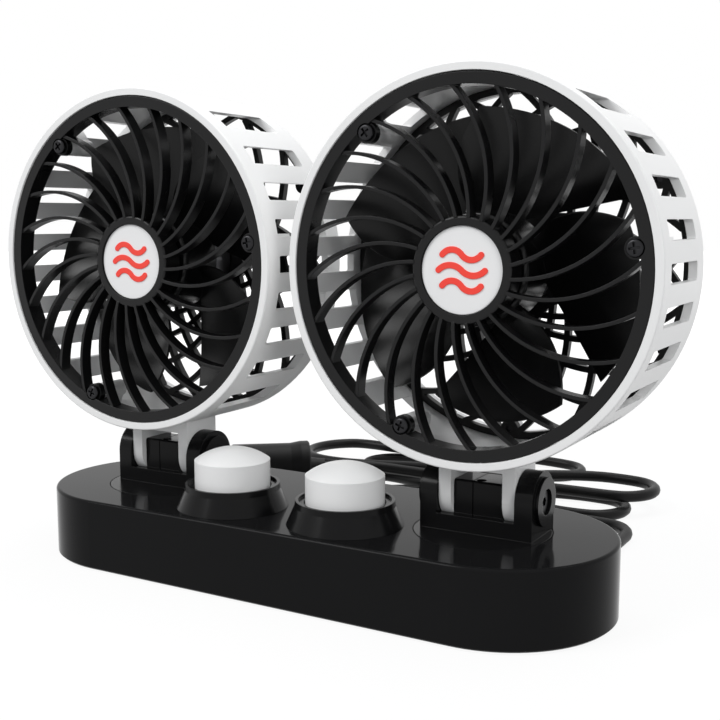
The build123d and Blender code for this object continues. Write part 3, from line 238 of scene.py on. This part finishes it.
cord_diameter = 0.0048
cord_radius = cord_diameter / 2
lead_x = 0.0840
lead_points = [
    (0.0660, 0.0464, 0.0086),
    (0.0660, 0.0556, 0.0086),
    (0.0706, 0.0636, 0.0072),
    (0.0792, 0.0682, 0.0044),
    (lead_x, 0.0762, 0.0024),
    (lead_x, 0.0859, 0.0024),
]
lead_turn_y = 0.0907
lead_turn_radius = 0.0134
layer_one = cord_radius
layer_two = cord_radius + 0.0061
waist_lift = 0.0008
waist_x = -0.006
# Each bend of the hank: side, middle x, middle y, radius, height, turn, and the waist before it
hank_bends = (
    (-1, -0.0460, 0.1157, 0.0146, layer_one, -1, 0.1142),
    (1, 0.0580, 0.1268, 0.0150, layer_one, 1, 0.1222),
    (-1, -0.0500, 0.1547, 0.0146, layer_one, -1, 0.1286),
    (1, 0.0200, 0.1822, 0.0150, layer_one, 1, 0.1350),
    (-1, -0.0680, 0.1436, 0.0220, layer_two, 1, None),
    (1, 0.0660, 0.1402, 0.0155, layer_two, -1, 0.1312),
)
last_waist_y = 0.1192
# Where a strand's two inner control points lie on the way to the next bend, along and up
crossing_share = 0.25
rise_share = 0.15
# The control points of a bend lie this far apart, the first one half as far from its start
bend_step = 30
half_step = 15
steps_in_bend = 6
steps_in_lead_turn = 3
plug_heading = math.radians(218)
plug_way = Vector((math.cos(plug_heading), math.sin(plug_heading), 0.0))
plug_run_in = 0.0150
hank_end = Vector((-0.0525, 0.1005, 0.012))
ease_share = 0.22
ease_shift = Vector((0.0, 0.0028, -0.0004))
cord_profile_steps = 4
cord_length_steps = 6
cord_curve_order = 3


def crossing(start, end):
    """Two points that lead from one strand's line gently over to the next one's."""
    rise = end.z - start.z
    way = crossing_share * (end.x - start.x)
    return [
        Vector((start.x + way, start.y, start.z + rise_share * rise)),
        Vector((end.x - way, end.y, end.z - rise_share * rise)),
    ]


def cord_route():
    """The cord's control points, from the grip to the plug."""
    points = [Vector(point) for point in lead_points]
    turn_middle = Vector((lead_x - lead_turn_radius, lead_turn_y, layer_one))
    reach = lead_turn_radius / math.cos(math.radians(half_step))
    for k in range(steps_in_lead_turn):
        angle = math.radians(half_step + bend_step * k)
        points.append(
            turn_middle + Vector((reach * math.cos(angle), reach * math.sin(angle), 0.0))
        )
    here = turn_middle + Vector((0.0, lead_turn_radius, 0.0))
    for side, middle_x, middle_y, radius, height, turn, waist_y in hank_bends:
        swing = turn * side
        entry = Vector((middle_x, middle_y - swing * radius, height))
        if waist_y is not None:
            waist = Vector((waist_x, waist_y, height + waist_lift))
            points += crossing(here, waist)
            here = waist
        points += crossing(here, entry)
        reach = radius / math.cos(math.radians(half_step))
        for k in range(steps_in_bend):
            angle = math.radians(half_step + bend_step * k - 90)
            x = middle_x + side * reach * math.cos(angle)
            y = middle_y + swing * reach * math.sin(angle)
            points.append(Vector((x, y, height)))
        here = Vector((middle_x, middle_y + swing * radius, height))
    waist = Vector((waist_x, last_waist_y, layer_two + waist_lift))
    points += crossing(here, waist)
    points.append(waist + (hank_end - waist) * ease_share + ease_shift)
    points.append(hank_end - plug_way * plug_run_in)
    points.append(hank_end)
    points.append(hank_end + plug_way * cord_diameter)
    return points


def make_cord():
    """One round tube along the whole route, with closed ends."""
    data = bpy.data.curves.new("supply_cord", "CURVE")
    data.dimensions = "3D"
    data.bevel_depth = cord_radius
    data.bevel_resolution = cord_profile_steps
    data.use_fill_caps = True
    data.resolution_u = cord_length_steps
    route = cord_route()
    spline = data.splines.new("NURBS")
    spline.points.add(len(route) - 1)
    for point, place in zip(spline.points, route):
        point.co = (*place, 1.0)
    spline.order_u = cord_curve_order
    spline.use_endpoint_u = True
    cord = bpy.data.objects.new("supply_cord", data)
    bpy.context.scene.collection.objects.link(cord)
    data.materials.append(finishes["cord_black"])
    return cord


supply_cord = make_cord()
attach(supply_cord, "base")
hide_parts("power_cord", "cord_hank")


# Floor, backdrop and light

pure_white = (1.0, 1.0, 1.0, 1.0)
floor_radius = 4.0
floor_sides = 96
floor_grey = (0.30, 0.30, 0.30, 1.0)
floor_glow = 1.3
# The floor's own white takes over from its lit grey between these distances from the middle
near_distance = 0.3
far_distance = 1.2
near_white_share = 0.70
far_white_share = 1.0
soft_sky = (0.9, 0.92, 0.95, 1.0)
soft_strength = 0.5
white_strength = 1.0


def seen_share(nodes, links):
    """A socket that is 1 for rays from the camera and for reflected and refracted ones, else 0."""
    path = nodes.new("ShaderNodeLightPath")
    seen = path.outputs["Is Camera Ray"]
    for kind in ("Is Glossy Ray", "Is Transmission Ray"):
        either = nodes.new("ShaderNodeMath")
        either.operation = "MAXIMUM"
        links.new(seen, either.inputs[0])
        links.new(path.outputs[kind], either.inputs[1])
        seen = either.outputs[0]
    return seen


def make_floor():
    """A white floor that takes the object's shadow and shows no edge far away."""
    bpy.ops.object.select_all(action="DESELECT")
    bpy.ops.mesh.primitive_circle_add(
        vertices=floor_sides, radius=floor_radius, fill_type="NGON", location=(0.0, 0.0, 0.0)
    )
    floor = bpy.context.object
    floor.name = "pale_floor"
    material = bpy.data.materials.new("pale_floor")
    material.use_nodes = True
    nodes, links = material.node_tree.nodes, material.node_tree.links
    nodes.clear()
    output = nodes.new("ShaderNodeOutputMaterial")
    lit = nodes.new("ShaderNodeBsdfDiffuse")
    lit.inputs["Color"].default_value = floor_grey
    plain = nodes.new("ShaderNodeEmission")
    plain.inputs["Color"].default_value = pure_white
    plain.inputs["Strength"].default_value = floor_glow
    place = nodes.new("ShaderNodeTexCoord")
    distance = nodes.new("ShaderNodeVectorMath")
    distance.operation = "LENGTH"
    white_share = nodes.new("ShaderNodeMapRange")
    white_share.inputs["From Min"].default_value = near_distance
    white_share.inputs["From Max"].default_value = far_distance
    white_share.inputs["To Min"].default_value = near_white_share
    white_share.inputs["To Max"].default_value = far_white_share
    weight = nodes.new("ShaderNodeMath")
    weight.operation = "MULTIPLY"
    blend = nodes.new("ShaderNodeMixShader")
    links.new(place.outputs["Object"], distance.inputs[0])
    links.new(distance.outputs["Value"], white_share.inputs["Value"])
    links.new(seen_share(nodes, links), weight.inputs[0])
    links.new(white_share.outputs["Result"], weight.inputs[1])
    links.new(weight.outputs[0], blend.inputs[0])
    links.new(lit.outputs[0], blend.inputs[1])
    links.new(plain.outputs[0], blend.inputs[2])
    links.new(blend.outputs[0], output.inputs["Surface"])
    floor.data.materials.append(material)


def light_world():
    """A soft light from all sides, which is plain white where it is seen or mirrored."""
    world = bpy.data.worlds.new("studio")
    bpy.context.scene.world = world
    world.use_nodes = True
    nodes, links = world.node_tree.nodes, world.node_tree.links
    nodes.clear()
    output = nodes.new("ShaderNodeOutputWorld")
    soft = nodes.new("ShaderNodeBackground")
    soft.inputs["Color"].default_value = soft_sky
    soft.inputs["Strength"].default_value = soft_strength
    white = nodes.new("ShaderNodeBackground")
    white.inputs["Color"].default_value = pure_white
    white.inputs["Strength"].default_value = white_strength
    blend = nodes.new("ShaderNodeMixShader")
    links.new(seen_share(nodes, links), blend.inputs[0])
    links.new(soft.outputs[0], blend.inputs[1])
    links.new(white.outputs[0], blend.inputs[2])
    links.new(blend.outputs[0], output.inputs["Surface"])


def add_lamp(name, place, aim, size, power, mirrored=True):
    """A flat rectangular lamp, aimed at a point and itself out of sight."""
    data = bpy.data.lights.new(name, "AREA")
    data.shape = "RECTANGLE"
    data.size, data.size_y = size
    data.energy = power
    lamp = bpy.data.objects.new(name, data)
    bpy.context.scene.collection.objects.link(lamp)
    lamp.location = place
    lamp.rotation_mode = "QUATERNION"
    lamp.rotation_quaternion = (Vector(aim) - Vector(place)).to_track_quat("-Z", "Y")
    lamp.visible_camera = False
    lamp.visible_glossy = mirrored


make_floor()
light_world()
add_lamp("key_lamp", (-0.9, -1.1, 1.3), aim=(0.0, 0.0, 0.07), size=(0.9, 0.9), power=20.5)
add_lamp(
    "fill_lamp", (1.4, -0.7, 0.7), aim=(0.0, 0.0, 0.07), size=(0.8, 1.0), power=10.0, mirrored=False
)
add_lamp("top_lamp", (0.1, 0.5, 1.5), aim=(0.0, 0.0, 0.05), size=(1.2, 0.8), power=9.0)
bpy.context.scene.view_settings.view_transform = "Standard"
